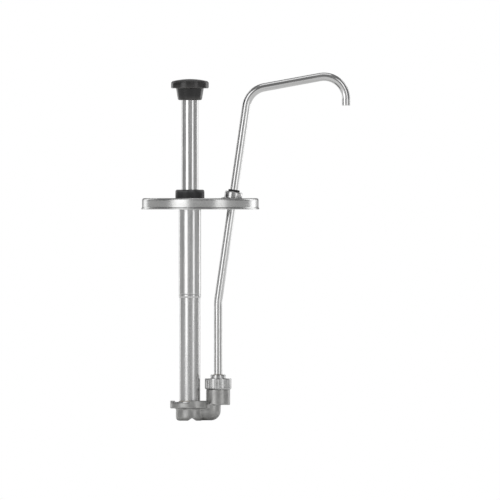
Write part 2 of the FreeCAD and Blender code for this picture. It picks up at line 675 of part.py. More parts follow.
def coupling_nut():
    """Hand nut with grip flutes that draws the fitting down onto the outlet."""
    profile = [
        (OUTLET_NECK_RADIUS + SLIP_GAP, OUTLET_SHOULDER),
        (NUT_RADIUS - 1.2, OUTLET_SHOULDER),
        (NUT_RADIUS, OUTLET_SHOULDER + 1.2),
        (NUT_RADIUS, NUT_TOP, 0.9),
        (FITTING_NECK_RADIUS + 0.2, NUT_TOP),
        (FITTING_NECK_RADIUS + 0.2, NUT_TOP - NUT_WALL),
        (OUTLET_NECK_RADIUS + SLIP_GAP, NUT_TOP - NUT_WALL),
    ]
    nut = turned(profile, OUTLET_X)
    flute = rod(FLUTE_RADIUS, OUTLET_SHOULDER + 1.6, NUT_TOP - 1.4, OUTLET_X + NUT_RADIUS + 0.4)
    grooves = [about_axis(flute, i * 360 / FLUTES, OUTLET_X) for i in range(FLUTES)]
    return nut.cut(Part.makeCompound(grooves))


def tube_route():
    """Centre line of the discharge tube: up, leaning out past the lid, along the arm, and down."""
    corner_x = lean_x(SPOUT_CORNER_Z)
    arch_z = SPOUT_CORNER_Z + (SPOUT_MOUTH_X - corner_x) * tan(radians(SPOUT_RISE))
    corners = [
        (OUTLET_X, TUBE_SOCKET_FLOOR),
        (OUTLET_X, TUBE_BEND_Z, LEAN_BEND_RADIUS),
        (corner_x, SPOUT_CORNER_Z, SPOUT_BEND_RADIUS),
        (SPOUT_MOUTH_X, arch_z, SPOUT_BEND_RADIUS),
        (SPOUT_MOUTH_X, TUBE_END_Z),
    ]
    return rounded_path(corners, closed=False)


def discharge_tube():
    """One length of tube, bent along the route."""
    route = tube_route()
    start = Vector(OUTLET_X, 0, TUBE_SOCKET_FLOOR)
    skins = []
    for radius in (SPOUT_R, SPOUT_BORE):
        section = Part.Wire(Part.makeCircle(radius, start, UP))
        skins.append(route.makePipeShell([section], True, False))
    return skins[0].cut(skins[1])


# ---- the pieces ----------------------------------------------------------------------------------

PIECES = (
    lid,
    lid_nut,
    spout_boss,
    spout_grommet,
    pump_cylinder,
    cylinder_head,
    locking_collar,
    plunger_wiper,
    knob,
    knob_cap,
    knob_insert,
    plunger_tube,
    plunger_top_plug,
    piston_plug,
    piston_washer,
    piston_seal,
    seal_spreader,
    piston_nut,
    return_spring,
    extension_tube,
    extension_flange,
    flange_oring,
    valve_body,
    inlet_ball,
    ball_retainer,
    discharge_fitting,
    ball_stop_pin,
    discharge_ball,
    fitting_oring,
    coupling_nut,
    discharge_tube,
)


def main():
    os.makedirs("parts", exist_ok=True)
    for piece in PIECES:
        name = piece.__name__
        shape = piece()
        solids = shape.Solids
        if len(solids) != 1 or not shape.isValid() or solids[0].Volume <= 0:
            raise SystemExit(f"{name}: {len(solids)} solids, valid {shape.isValid()}")
        solids[0].exportStep(f"parts/{name}.step")
        print(f"{name:20s} {solids[0].Volume / 1000:8.3f} cm3")


main()
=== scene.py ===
import json
from math import asin, atan2, cos, pi, radians, sin, tan

import bpy
import numpy as np
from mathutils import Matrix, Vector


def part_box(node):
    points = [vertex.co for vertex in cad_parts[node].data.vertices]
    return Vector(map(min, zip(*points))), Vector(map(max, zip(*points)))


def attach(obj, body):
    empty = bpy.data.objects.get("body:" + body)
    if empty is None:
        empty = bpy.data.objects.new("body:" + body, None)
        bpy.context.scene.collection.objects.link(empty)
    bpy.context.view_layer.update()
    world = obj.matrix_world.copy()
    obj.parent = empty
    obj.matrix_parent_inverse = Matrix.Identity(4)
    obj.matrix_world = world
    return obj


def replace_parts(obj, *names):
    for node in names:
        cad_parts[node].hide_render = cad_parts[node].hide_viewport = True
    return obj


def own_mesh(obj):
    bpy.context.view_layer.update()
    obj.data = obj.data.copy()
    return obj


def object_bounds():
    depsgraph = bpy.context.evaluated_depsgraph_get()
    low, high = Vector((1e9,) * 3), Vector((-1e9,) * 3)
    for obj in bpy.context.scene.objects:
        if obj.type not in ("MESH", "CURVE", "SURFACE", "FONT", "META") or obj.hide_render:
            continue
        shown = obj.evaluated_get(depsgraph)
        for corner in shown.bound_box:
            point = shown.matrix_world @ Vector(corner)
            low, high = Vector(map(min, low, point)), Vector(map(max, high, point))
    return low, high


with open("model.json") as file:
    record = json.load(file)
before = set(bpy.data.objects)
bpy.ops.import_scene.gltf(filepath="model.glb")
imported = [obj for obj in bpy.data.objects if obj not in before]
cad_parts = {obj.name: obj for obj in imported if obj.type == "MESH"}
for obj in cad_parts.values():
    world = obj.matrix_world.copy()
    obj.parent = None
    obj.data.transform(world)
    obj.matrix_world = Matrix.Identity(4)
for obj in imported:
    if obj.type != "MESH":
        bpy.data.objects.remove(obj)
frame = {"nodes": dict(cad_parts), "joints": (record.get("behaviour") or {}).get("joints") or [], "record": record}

MM = 0.001
cad_low, cad_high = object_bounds()

# ---- Lid ------------------------------------------------------------------------------------------
# Spun from 1 mm stainless sheet: a flat rim that rests on the container, a shallow dish that catches
# drips, and a skirt whose lower edge is turned out. The pump cylinder and the spout tube pass through it.

LID_SHEET, LID_HEM, DISH_RADIUS, DISH_DEPTH = 1.0 * MM, 0.8 * MM, 57 * MM, 1.2 * MM
LEAN, TUBE_RADIUS = radians(8.2), 4.75 * MM
GROMMET_LOW, GROMMET_HIGH = 5 * MM, 10 * MM  # along the leaning tube, from the lid's top
PUMP_HOLE_GAP, TUBE_HOLE_GAP, CUT_REACH = 0.05 * MM, 1 * MM, 9 * MM
DISH_SLOPE, HEM_HEIGHT, HEM_BEND = 1.5 * MM, 1.1 * MM, 2.6 * MM
EDGE_BREAK = 0.2 * MM  # the small radius left on an edge that isn't drawn rounder
WEAR_REACH, HOLD = 0.7 * MM, 0.4 * MM  # how far wear spreads from an edge, and how close a held point is
FULL_TURN, ARC_STEPS = 2 * pi, 7


def span(node):
    """Lowest and highest corner of a CAD node."""
    low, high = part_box(node)
    return np.array(low), np.array(high)


def outline(corners, longest):
    """Closed outline through (radius, height[, fillet]) corners, and how near each point is to an edge.

    A fillet is a circular arc that touches both sides: its centre is on the bisector, at
    fillet / sin(half angle) from the corner. Long sides are divided, with a point close to each end that
    holds the shading flat. The nearness falls off as exp(-distance / WEAR_REACH) from the outward arcs.
    """
    flat = np.array([c[:2] for c in corners], float)
    before, after = np.roll(flat, 1, 0), np.roll(flat, -1, 0)
    area = np.sum(flat[:, 0] * after[:, 1] - after[:, 0] * flat[:, 1])
    points, on_edge = [], []
    for p, a, b, corner in zip(flat, before, after, corners):
        fillet = corner[2] if len(corner) > 2 else EDGE_BREAK
        if p[0] == 0:
            points.append(p[None])
            on_edge.append([0.0])
            continue
        u, v = (a - p) / np.linalg.norm(a - p), (b - p) / np.linalg.norm(b - p)
        half = np.arccos(np.clip(u @ v, -1, 1)) / 2
        centre = p + (u + v) / np.linalg.norm(u + v) * fillet / sin(half)
        start, end = p + u * fillet / tan(half) - centre, p + v * fillet / tan(half) - centre
        first = atan2(start[1], start[0])
        sweep = (atan2(end[1], end[0]) - first + pi) % FULL_TURN - pi
        angles = first + sweep * np.linspace(0, 1, ARC_STEPS)
        points.append(centre + fillet * np.stack([np.cos(angles), np.sin(angles)], 1))
        on_edge.append(np.full(ARC_STEPS, float(sweep * area > 0)))
    rows, marks = [], []
    for i, (arc, mark) in enumerate(zip(points, on_edge)):
        end, start = arc[-1], points[(i + 1) % len(points)][0]
        length = np.linalg.norm(start - end)
        inner = np.linspace(0, 1, int(length / longest) + 2)[1:-1]
        hold = min(HOLD / max(length, 1e-9), 0.3)
        share = np.unique(np.concatenate([[hold, 1 - hold], inner]))
        side = end + share[:, None] * (start - end)
        keep = len(side) if max(end[0], start[0]) > 0 else 0
        rows += [arc, side[:keep]]
        marks += [mark, np.zeros(keep)]
    rows, marks = np.concatenate(rows), np.concatenate(marks)
    if area < 0:
        rows, marks = rows[::-1], marks[::-1]
    worn = rows[marks > 0]
    gap = np.full(len(rows), 1.0)
    if len(worn):
        gap = np.linalg.norm(rows[:, None] - worn[None], axis=2).min(1)
    return rows, np.exp(-gap / WEAR_REACH)


def turned(name, corners, place=None, turns=160, relief=None, longest=20 * MM):
    """A lathe part. Outline point (r, z) at angle a goes to (r cos a, r sin a, z), and then through place.

    relief(r, z, a), if given, returns the changed r and z. No step along a side is over longest. The
    coordinates on the lathe are kept in the attribute "lathe", and the nearness to an edge in "edge", for
    the materials.
    """
    rows, near = outline(corners, longest)
    angles = np.arange(turns) * FULL_TURN / turns
    r, a = np.meshgrid(rows[:, 0], angles, indexing="ij")
    z = np.repeat(rows[:, 1:], turns, 1)
    if relief is not None:
        r, z = relief(r, z, a)
    lathe = np.stack([r * np.cos(a), r * np.sin(a), z], 2).reshape(-1, 3)
    index = np.arange(len(lathe)).reshape(len(rows), turns)
    index[rows[:, 0] == 0] = index[rows[:, 0] == 0, :1]
    up, round_ = np.roll(index, -1, 0), np.roll(index, -1, 1)
    faces = np.stack([index, round_, np.roll(up, -1, 1), up], 2).reshape(-1, 4)
    low_pole, high_pole = faces[:, 0] == faces[:, 1], faces[:, 2] == faces[:, 3]
    used, packed = np.unique(faces, return_inverse=True)
    faces = packed.reshape(-1, 4)
    lists = (
        faces[~low_pole & ~high_pole].tolist()
        + faces[low_pole & ~high_pole][:, [0, 2, 3]].tolist()
        + faces[high_pole & ~low_pole][:, [0, 1, 2]].tolist()
    )
    lathe = lathe[used]
    edge = np.repeat(near, turns)[used]
    points = lathe if place is None else place(lathe)
    mesh = bpy.data.meshes.new(name)
    mesh.from_pydata(points.tolist(), [], lists)
    mesh.attributes.new("lathe", "FLOAT_VECTOR", "POINT").data.foreach_set("vector", lathe.ravel())
    mesh.attributes.new("edge", "FLOAT", "POINT").data.foreach_set("value", edge.ravel())
    mesh.shade_smooth()
    mesh.set_sharp_from_angle(angle=radians(40))
    piece = bpy.data.objects.new(name, mesh)
    bpy.context.scene.collection.objects.link(piece)
    return piece


def upright(x):
    """Stands a lathe part on the vertical axis at x."""
    return lambda lathe: lathe + (x, 0.0, 0.0)


def leaning(lathe):
    """Tilts a lathe part to the tube's lean, with its zero where the tube's axis meets the lid's top."""
    x, y, z = lathe.T
    tilted = np.stack([x * cos(LEAN) + z * sin(LEAN), y, z * cos(LEAN) - x * sin(LEAN)], 1)
    return tilted + lean_start


def bar(radius, low, high, place):
    """A plain rod, as a cutting tool."""
    return turned("cutting_bar", [(0, low), (radius, low), (radius, high), (0, high)], place, turns=96)


def finished(piece):
    """The piece with its modifiers applied to its mesh."""
    evaluated = piece.evaluated_get(bpy.context.evaluated_depsgraph_get())
    mesh = bpy.data.meshes.new_from_object(evaluated)
    piece.modifiers.clear()
    piece.data = mesh
    return piece


def cut(piece, tool):
    """Cuts the tool out of the piece and takes the tool away."""
    step = piece.modifiers.new("cut", "BOOLEAN")
    step.operation, step.solver, step.object = "DIFFERENCE", "EXACT", tool
    finished(piece)
    bpy.data.objects.remove(tool)
    piece.data.shade_smooth()
    piece.data.set_sharp_from_angle(angle=radians(35))


class Socket:
    """A shader socket in arithmetic: an expression on it adds the Math nodes that it needs."""

    def __init__(self, shader, link):
        self.shader, self.link = shader, link

    def maths(self, operation, *values):
        return self.shader.node("ShaderNodeMath", {"operation": operation}, dict(enumerate(values)))

    def __add__(self, other):
        return self.maths("ADD", self, other)

    def __sub__(self, other):
        return self.maths("SUBTRACT", self, other)

    def __rsub__(self, other):
        return self.maths("SUBTRACT", other, self)

    def __mul__(self, other):
        return self.maths("MULTIPLY", self, other)

    def __truediv__(self, other):
        return self.maths("DIVIDE", self, other)

    def __rtruediv__(self, other):
        return self.maths("DIVIDE", other, self)

    def __pow__(self, other):
        return self.maths("POWER", self, other)

    def __rpow__(self, other):
        return self.maths("POWER", other, self)

    __radd__, __rmul__ = __add__, __mul__

    def above(self, low, high):
        """0 below low, 1 above high, and an even slope between them."""
        settings = {"clamp": True, "interpolation_type": "SMOOTHSTEP"}
        return self.shader.node("ShaderNodeMapRange", settings, {0: self, 1: low, 2: high, 3: 0.0, 4: 1.0})


class Graph:
    """A node tree in the making."""

    def __init__(self, tree):
        self.tree = tree

    def node(self, kind, settings, inputs, out=0):
        """Adds one node: its settings first, then a value or a link for each input named or numbered."""
        node = self.tree.nodes.new(kind)
        for setting, value in settings.items():
            setattr(node, setting, value)
        for key, value in inputs.items():
            if isinstance(value, Socket):
                self.tree.links.new(value.link, node.inputs[key])
            else:
                node.inputs[key].default_value = value
        return Socket(self, node.outputs[out])


class Shader(Graph):
    """A material in the making. What is the same all over is set on the surface shader's own sockets."""

    def __init__(self, name, **surface):
        self.material = bpy.data.materials.new(name)
        self.material.use_nodes = True
        super().__init__(self.material.node_tree)
        self.surface = self.tree.nodes["Principled BSDF"]
        for socket, value in surface.items():
            self.surface.inputs[self.label(socket)].default_value = value

    @staticmethod
    def label(socket):
        """The surface shader's own label for a socket: coat_weight is Coat Weight, and ior is IOR."""
        return socket.replace("_", " ").title().replace("Ior", "IOR")

    def feed(self, **links):
        for socket, value in links.items():
            self.tree.links.new(value.link, self.surface.inputs[self.label(socket)])
        return self.material

    def on_lathe(self):
        """Coordinates on the lathe, for a new piece."""
        return self.node("ShaderNodeAttribute", {"attribute_name": "lathe"}, {}, "Vector")

    def in_place(self, x=0.0, z=0.0, lean=0.0):
        """Coordinates in the pump's own frame, from an axis through x and z that leans towards +X."""
        place = self.node("ShaderNodeTexCoord", {}, {}, "Object")
        moved = self.node("ShaderNodeMapping", {}, {"Vector": place, "Location": (-x, 0, -z)})
        return self.node("ShaderNodeMapping", {}, {"Vector": moved, "Rotation": (0, -lean, 0)})

    def edge(self):
        return self.node("ShaderNodeAttribute", {"attribute_name": "edge"}, {}, "Fac")

    def noise(self, point, per_metre, detail=3.0, rough=0.55):
        """Noise from 0 to 1 with so many features per metre along x, y and z."""
        scaled = self.node("ShaderNodeVectorMath", {"operation": "MULTIPLY"}, {0: point, 1: per_metre})
        inputs = {"Vector": scaled, "Scale": 1.0, "Detail": detail, "Roughness": rough}
        return self.node("ShaderNodeTexNoise", {}, inputs)

    def spun(self, point, per_metre, sectors):
        """Noise in rings round the axis: it varies with radius less height, and slowly with direction."""
        x, y, z = (self.node("ShaderNodeSeparateXYZ", {}, {0: point}, axis) for axis in range(3))
        radius = (x * x + y * y + 1e-9) ** 0.5
        inputs = {0: (radius - z) * per_metre, 1: x / radius * sectors, 2: y / radius * sectors}
        rings = self.node("ShaderNodeCombineXYZ", {}, inputs)
        return self.node("ShaderNodeTexNoise", {}, {"Vector": rings, "Scale": 1.0, "Detail": 2.0})

    def mix(self, mask, first, second):
        settings = {"data_type": "RGBA"}
        return self.node("ShaderNodeMix", settings, {0: mask, 6: (*first, 1.0), 7: (*second, 1.0)}, 2)

    def bump(self, height, metres):
        """A surface raised by so many metres where the height is 1."""
        return self.node("ShaderNodeBump", {}, {"Height": height, "Distance": metres, "Strength": 1.0})


def spun_steel():
    """Satin sheet with fine rings from the lathe, faint drips wiped dry, and a few hairline scratches."""
    shader = Shader("spun_steel", metallic=1.0)
    point = shader.in_place(x=lid_axis)
    rings = shader.spun(point, 900.0, 1.2)
    bands = shader.spun(point, 90.0, 2.5)
    smudge = shader.noise(point, (45.0, 45.0, 45.0), 4.0)
    hair = shader.noise(point, (900.0, 60.0, 60.0), 1.0)
    scratch = 1.0 - ((hair - 0.5) ** 2.0 * 9000.0).above(0.0, 1.0)
    scratch = scratch * smudge.above(0.5, 0.62)
    return shader.feed(
        base_color=shader.mix(bands * 0.6 + smudge * 0.4, (0.56, 0.565, 0.57), (0.71, 0.71, 0.70)),
        roughness=0.2 + bands * 0.08 + smudge.above(0.35, 0.7) * 0.07 + scratch * 0.12,
        normal=shader.bump(rings + scratch * 0.5, 9e-6),
    )


def assign(piece, material):
    """Gives the piece this material, in each of its slots."""
    if not piece.material_slots:
        piece.data.materials.append(material)
    for place in piece.material_slots:
        place.material = material


lid_low, lid_high = span("lid")
lid_axis = (lid_low[0] + lid_high[0]) / 2
skirt = (lid_high[0] - lid_low[0]) / 2 - LID_HEM
lid_top, lid_edge = lid_high[2], lid_low[2]
panel_top = lid_top - DISH_DEPTH
cylinder_low, cylinder_high = span("pump_cylinder")
cylinder_radius = (cylinder_high[0] - cylinder_low[0]) / 2
grommet_middle = sum(span("spout_grommet")) / 2
lean_start = grommet_middle - (GROMMET_LOW + GROMMET_HIGH) / 2 * np.array([sin(LEAN), 0, cos(LEAN)])

lid = turned(
    "spun_lid",
    [
        (0, panel_top - LID_SHEET),
        (DISH_RADIUS, panel_top - LID_SHEET, 0.8 * MM),
        (DISH_RADIUS + DISH_SLOPE, lid_top - LID_SHEET, 0.5 * MM),
        (skirt - LID_SHEET, lid_top - LID_SHEET, 1.5 * MM),
        (skirt - LID_SHEET, lid_edge + 1.7 * MM, 0.9 * MM),
        (skirt - LID_SHEET + LID_HEM, lid_edge + 0.5 * MM, 0.2 * MM),
        (skirt - LID_SHEET + LID_HEM, lid_edge, 0.2 * MM),
        (skirt + LID_HEM, lid_edge, 0.35 * MM),
        (skirt + LID_HEM, lid_edge + HEM_HEIGHT, 0.35 * MM),
        (skirt, lid_edge + HEM_BEND, 0.9 * MM),
        (skirt, lid_top, 2.5 * MM),
        (DISH_RADIUS + DISH_SLOPE, lid_top, 0.8 * MM),
        (DISH_RADIUS, panel_top, 0.5 * MM),
        (0, panel_top),
    ],
    upright(lid_axis),
    turns=288,
)
cut(lid, bar(cylinder_radius + PUMP_HOLE_GAP, -CUT_REACH, CUT_REACH, upright(0.0)))
cut(lid, bar(TUBE_RADIUS + TUBE_HOLE_GAP, -CUT_REACH, CUT_REACH, leaning))
assign(lid, spun_steel())
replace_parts(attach(lid, "pump_frame"), "lid")

# ---- Boss and grommet -----------------------------------------------------------------------------
# A turned stainless boss, let into the lid at the tube's lean and welded there, with a flared foot that
# rises out of the lid on the plunger's side. A black rubber grommet in it grips the tube.

BOSS_RADIUS, BOSS_HEIGHT, BOSS_FOOT, BOSS_BORE = 10.1 * MM, 7.6 * MM, 14 * MM, 5.3 * MM
BOSS_FLARE, BOSS_ROOT, BOSS_BEAD = 1.6 * MM, 6 * MM, 0.5 * MM
BELOW_RADIUS, BELOW_DEPTH = 60 * MM, 30 * MM  # what is cut away under the dish
GROMMET_RADIUS, GROMMET_SEAT, GROMMET_LIP, SNUG = 6.1 * MM, 6.15 * MM, 0.5 * MM, 0.02 * MM


def turned_steel(name, point, shade=1.0):
    """Bar stock off the lathe: fine turning marks along the feed, and a slightly duller film in patches."""
    shader = Shader(name, metallic=1.0)
    place = point(shader)
    marks = shader.noise(place, (60.0, 60.0, 2600.0), 2.0)
    film = shader.noise(place, (160.0, 160.0, 160.0), 4.0)
    return shader.feed(
        base_color=shader.mix(film.above(0.3, 0.75), (0.58 * shade,) * 3, (0.72 * shade,) * 3),
        roughness=0.16 + film.above(0.35, 0.7) * 0.1 + marks * 0.06,
        normal=shader.bump(marks, 5e-6),
    )


def on_lean(shader):
    """Coordinates on the boss's own axis."""
    return shader.in_place(lean_start[0], lean_start[2], LEAN)


def rubber():
    """Matt black nitrile rubber, a little greyer and rougher where it has been wiped."""
    shader = Shader("black_rubber", roughness=0.6, specular_ior_level=0.35)
    place = shader.in_place()
    bloom = shader.noise(place, (220.0, 220.0, 220.0), 5.0, 0.65)
    grain = shader.noise(place, (2600.0, 2600.0, 2600.0), 2.0)
    return shader.feed(
        base_color=shader.mix(bloom.above(0.4, 0.8), (0.012, 0.012, 0.013), (0.05, 0.05, 0.052)),
        roughness=0.5 + bloom * 0.25,
        normal=shader.bump(grain, 1.5e-5),
    )


boss = turned(
    "leaning_boss",
    [
        (BOSS_BORE, -BOSS_ROOT),
        (BOSS_FOOT, -BOSS_ROOT),
        (BOSS_FOOT, -BOSS_FLARE, 0.5 * MM),
        (BOSS_RADIUS, 0.0, 1.0 * MM),
        (BOSS_RADIUS, BOSS_HEIGHT, 1.6 * MM),
        (GROMMET_SEAT, BOSS_HEIGHT, 0.3 * MM),
        (GROMMET_SEAT, GROMMET_LOW, 0.05 * MM),
        (BOSS_BORE, GROMMET_LOW, 0.1 * MM),
    ],
    leaning,
    turns=128,
)
cut(boss, bar(BELOW_RADIUS, panel_top - BELOW_DEPTH, panel_top, upright(lean_start[0])))
assign(boss, turned_steel("boss_steel", on_lean))
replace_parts(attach(boss, "pump_frame"), "spout_boss")


def weld_steel():
    """Weld metal, wire-brushed bright, with a straw tint left by the heat."""
    shader = Shader("weld_steel", metallic=1.0)
    place = shader.on_lathe()
    heat = shader.noise(place, (240.0, 240.0, 240.0), 3.0)
    return shader.feed(
        base_color=shader.mix(heat.above(0.35, 0.7), (0.62, 0.61, 0.59), (0.64, 0.59, 0.50)),
        roughness=0.3 + heat * 0.15,
    )


weld_finish = weld_steel()


def boss_seam(r, z, a):
    """The seam where the foot meets the dish: the foot's cone, within its least and greatest radius."""
    flare = (BOSS_FOOT - BOSS_RADIUS) / BOSS_FLARE
    below = panel_top - lean_start[2]
    cone = (BOSS_RADIUS - flare * below / cos(LEAN)) / (1 + flare * np.cos(a) * tan(LEAN))
    return r - BOSS_FOOT + np.clip(cone, BOSS_RADIUS, BOSS_FOOT), z


def on_dish(lathe):
    """Slides each point of a level ring to where a leaning ring of that radius meets the dish."""
    x, y, z = lathe.T
    height = (panel_top - lean_start[2] + x * sin(LEAN)) / cos(LEAN)
    return np.stack([x * cos(LEAN) + height * sin(LEAN) + lean_start[0], y, z + panel_top], 1)


boss_weld = turned(
    "boss_weld",
    [
        (BOSS_FOOT - 0.4 * MM, -0.3 * MM),
        (BOSS_FOOT + BOSS_BEAD, -0.3 * MM),
        (BOSS_FOOT + 0.7 * BOSS_BEAD, 0.4 * BOSS_BEAD, 0.3 * MM),
        (BOSS_FOOT - 0.1 * MM, BOSS_BEAD),
        (BOSS_FOOT - 0.4 * MM, BOSS_BEAD),
    ],
    on_dish,
    turns=160,
    relief=boss_seam,
)
assign(boss_weld, weld_finish)
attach(boss_weld, "pump_frame")

grommet = turned(
    "rubber_grommet",
    [
        (TUBE_RADIUS + SNUG, GROMMET_LOW),
        (GROMMET_RADIUS, GROMMET_LOW),
        (GROMMET_RADIUS, BOSS_HEIGHT + 0.1 * MM, 0.1 * MM),
        (GROMMET_RADIUS + GROMMET_LIP, BOSS_HEIGHT + 0.3 * MM, 0.2 * MM),
        (GROMMET_RADIUS + GROMMET_LIP, GROMMET_HIGH - 0.2 * MM, 0.8 * MM),
        (TUBE_RADIUS + SNUG, GROMMET_HIGH, 0.3 * MM),
    ],
    leaning,
    turns=96,
)
rubber_finish = rubber()
assign(grommet, rubber_finish)
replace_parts(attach(grommet, "pump_frame"), "spout_grommet")

# ---- Pump cylinder --------------------------------------------------------------------------------
# Drawn 25.4 mm stainless tube, belt-polished along its length. Its lower end is rolled into a groove and
# swaged onto the extension. The threaded head is welded on top and a hexagon nut clamps the lid.

CYLINDER_WALL, EXTENSION_WALL = 0.8 * MM, 0.9 * MM
GROOVE_DEPTH, GROOVE_HALF, SWAGE_LENGTH, SWAGE_RIM = 0.3 * MM, 0.5 * MM, 1.8 * MM, 0.5 * MM
MOUTH_CHAMFER, MOUTH_DEPTH = 0.4 * MM, 0.8 * MM


def tube_steel(name, rough, shade=1.0):
    """Drawn tube polished along its length: long streaks, a fine grain, and soft hand marks."""
    shader = Shader(name, metallic=1.0)
    place = shader.on_lathe()
    grain = shader.noise(place, (3200.0, 3200.0, 70.0), 2.0)
    streak = shader.noise(place, (520.0, 520.0, 9.0), 3.0)
    smudge = shader.noise(place, (60.0, 60.0, 38.0), 4.0)
    hand = smudge.above(0.46, 0.7)
    return shader.feed(
        base_color=shader.mix(streak.above(0.3, 0.7), (0.60 * shade,) * 3, (0.76 * shade,) * 3),
        roughness=rough + grain * 0.05 + streak * 0.05 + hand * 0.07,
        normal=shader.bump(grain, 6e-6),
    )


extension_low, extension_high = span("extension_tube")
extension_radius = (extension_high[0] - extension_low[0]) / 2
cylinder_end, cylinder_top = cylinder_low[2], cylinder_high[2]
groove = extension_high[2] + GROOVE_HALF
cylinder_bore = cylinder_radius - CYLINDER_WALL

cylinder = turned(
    "pump_cylinder_tube",
    [
        (extension_radius, cylinder_end, 0.1 * MM),
        (extension_radius + SWAGE_RIM, cylinder_end, 0.2 * MM),
        (cylinder_radius, cylinder_end + SWAGE_LENGTH, 1.2 * MM),
        (cylinder_radius, groove - GROOVE_HALF, 0.3 * MM),
        (cylinder_radius - GROOVE_DEPTH, groove, 0.25 * MM),
        (cylinder_radius, groove + GROOVE_HALF, 0.3 * MM),
        (cylinder_radius, cylinder_top, 0.1 * MM),
        (cylinder_bore + MOUTH_CHAMFER, cylinder_top, 0.1 * MM),
        (cylinder_bore, cylinder_top - MOUTH_DEPTH, 0.2 * MM),
        (cylinder_bore, extension_high[2], 0.1 * MM),
        (extension_radius, extension_high[2], 0.02 * MM),
    ],
    turns=128,
)
assign(cylinder, tube_steel("belted_tube_steel", 0.17))
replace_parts(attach(cylinder, "pump_frame"), "pump_cylinder")

plain_turned = turned_steel("bright_turned_steel", Shader.in_place)
for name in ("cylinder_head", "lid_nut"):
    assign(frame["nodes"][name], plain_turned)

# ---- Extension tube and its flange ----------------------------------------------------------------
# A narrower tube that reaches the container's floor. A ring with three lobes is welded to its foot, and
# the lobes turn under the valve body's hooked lugs, squeezing an O-ring in the casting's face.

LUGS = ((180.0, 17.0), (60.0, 29.0), (-60.0, 29.0))  # direction and half width of each lug, in degrees
LOBE_RADIUS, RING_RADIUS, LOBE_ROOT = 19.0 * MM, 16.4 * MM, 14 * MM
LOBE_TRIM, LOBE_CORNER = 2.0, 2.5  # in degrees: each lobe is this much narrower than its lug, and this soft
BEAD, RIPPLES, RIPPLE_HEIGHT, RIPPLE_START = 1.3 * MM, 48, 0.07 * MM, 0.3 * MM

extension = turned(
    "extension_lower_tube",
    [
        (extension_radius - EXTENSION_WALL, extension_low[2]),
        (extension_radius, extension_low[2]),
        (extension_radius, extension_high[2]),
        (extension_radius - EXTENSION_WALL, extension_high[2]),
    ],
    turns=128,
)
assign(extension, tube_steel("extension_steel", 0.19, 0.97))
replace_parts(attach(extension, "pump_frame"), "extension_tube")


def lobed(r, z, a):
    """The rim goes out to the lobes' radius across each lug's width, with corners on a smooth step."""
    turn = np.degrees(a)
    reach = np.zeros_like(a)
    for direction, half in LUGS:
        off = np.abs((turn - direction + 180) % 360 - 180)
        reach = np.maximum(reach, np.clip((half - LOBE_TRIM - off) / LOBE_CORNER, 0, 1))
    reach = reach * reach * (3 - 2 * reach)
    rim = RING_RADIUS + (LOBE_RADIUS - RING_RADIUS) * reach
    stretched = LOBE_ROOT + (r - LOBE_ROOT) * (rim - LOBE_ROOT) / (LOBE_RADIUS - LOBE_ROOT)
    return np.where(r > LOBE_ROOT, stretched, r), z


flange_low, flange_high = span("extension_flange")
lobes = turned(
    "lobed_flange",
    [
        (extension_radius, flange_low[2]),
        (LOBE_RADIUS, flange_low[2]),
        (LOBE_RADIUS, flange_high[2], 0.3 * MM),
        (extension_radius, flange_high[2]),
    ],
    turns=360,
    relief=lobed,
    longest=1.5 * MM,
)
assign(lobes, plain_turned)
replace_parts(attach(lobes, "pump_frame"), "extension_flange")
assign(frame["nodes"]["flange_oring"], rubber_finish)


def rippled(r, z, a):
    """Weld ripples: the bead swells and shrinks as a cosine of the angle round the joint."""
    outside = r > extension_radius + RIPPLE_START
    return r + RIPPLE_HEIGHT * outside * np.cos(RIPPLES * a), z


weld = turned(
    "flange_weld",
    [
        (extension_radius, flange_high[2]),
        (extension_radius + BEAD, flange_high[2]),
        (extension_radius + 0.8 * BEAD, flange_high[2] + 0.6 * BEAD, 0.4 * MM),
        (extension_radius, flange_high[2] + BEAD),
    ],
    turns=288,
    relief=rippled,
)
assign(weld, weld_finish)
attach(weld, "pump_frame")

# ---- Valve body -----------------------------------------------------------------------------------
# An investment casting in stainless steel, tumbled to an even satin. Its shape is the CAD solid's, with
# the soft corners and blended joints that a casting has. The ball and its retainer drop in from above.

CAST_VOXEL = 0.42 * MM


def cast_steel():
    """Tumbled casting: a fine orange-peel skin, darker in patches, with a few tiny pits."""
    shader = Shader("tumbled_cast_steel", metallic=1.0)
    place = shader.in_place()
    peel = shader.noise(place, (900.0, 900.0, 900.0), 3.0)
    patch = shader.noise(place, (130.0, 130.0, 130.0), 5.0, 0.6)
    pits = shader.noise(place, (1500.0, 1500.0, 1500.0), 1.0).above(0.70, 0.78)
    return shader.feed(
        base_color=shader.mix(patch.above(0.3, 0.7), (0.40, 0.40, 0.395), (0.55, 0.55, 0.54)),
        roughness=0.3 + patch * 0.14 + pits * 0.2,
        normal=shader.bump(peel - pits * 0.8, 2.2e-5),
    )


def as_cast(name, node, voxel):
    """A copy of a CAD node with every corner and joint softened, as a mould leaves them."""
    mesh = frame["nodes"][node].data.copy()
    piece = bpy.data.objects.new(name, mesh)
    bpy.context.scene.collection.objects.link(piece)
    weld_step = piece.modifiers.new("merge", "WELD")
    weld_step.merge_threshold = 1e-6
    remesh = piece.modifiers.new("remesh", "REMESH")
    remesh.mode, remesh.voxel_size = "VOXEL", voxel
    soften = piece.modifiers.new("soften", "SMOOTH")
    soften.factor, soften.iterations = 0.5, 6
    finished(piece).data.shade_smooth()
    return piece


casting = as_cast("cast_valve_body", "valve_body", CAST_VOXEL)
assign(casting, cast_steel())
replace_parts(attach(casting, "pump_frame"), "valve_body")


def ground_steel():
    """Ground and polished ball: a mirror with the faintest haze."""
    shader = Shader("ground_steel", metallic=1.0, base_color=(0.78, 0.78, 0.77, 1.0))
    haze = shader.noise(shader.in_place(), (300.0, 300.0, 300.0), 4.0)
    return shader.feed(roughness=0.05 + haze * 0.06)


